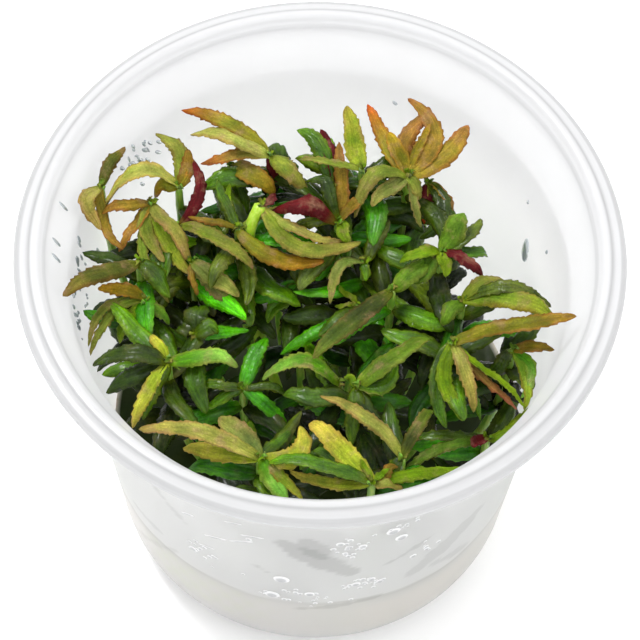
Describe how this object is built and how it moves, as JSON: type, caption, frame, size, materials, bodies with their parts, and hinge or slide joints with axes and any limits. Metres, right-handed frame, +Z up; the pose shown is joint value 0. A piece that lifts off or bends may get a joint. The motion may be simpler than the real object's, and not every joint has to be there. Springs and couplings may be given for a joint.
{
  "type": "tissue-cultured aquarium plant in tub",
  "caption": "Round translucent plastic tub, open at the top, with a layer of nutrient gel in its base and a dense tuft of narrow-leaved water-plant shoots standing in the gel.",
  "frame": {"origin": "middle of the tub's base, on the face that it stands on", "axes": "+Z up along the tub's axis, towards its open mouth; -Y towards the side that the picture shows nearest"},
  "size_m": [0.105, 0.105, 0.088],
  "materials": {
    "tub_plastic": "milky translucent, smooth",
    "gel": "cloudy and moist",
    "leaf": "green to olive, gold and maroon, some wet",
    "stem": "smooth, yellow-green",
    "water": "clear drops"
  },
  "bodies": {
    "root": {"tub": "tub_plastic", "gel": "gel", "shoot_01": "leaf", "shoot_02": "leaf", "shoot_03": "leaf", "shoot_04": "leaf", "shoot_05": "leaf", "shoot_06": "leaf", "shoot_07": "leaf", "shoot_08": "leaf", "shoot_09": "leaf", "shoot_10": "leaf", "shoot_11": "leaf", "shoot_12": "leaf", "shoot_13": "leaf", "shoot_14": "leaf", "shoot_15": "leaf", "shoot_16": "leaf", "shoot_17": "leaf", "shoot_18": "leaf", "shoot_19": "leaf", "shoot_20": "leaf", "shoot_21": "leaf", "shoot_22": "leaf", "shoot_23": "leaf", "shoot_24": "leaf", "shoot_25": "leaf", "shoot_26": "leaf", "shoot_27": "leaf", "shoot_28": "leaf", "shoot_29": "leaf", "shoot_30": "leaf", "shoot_31": "leaf", "shoot_32": "leaf", "shoot_33": "leaf"}
  },
  "joints": []
}
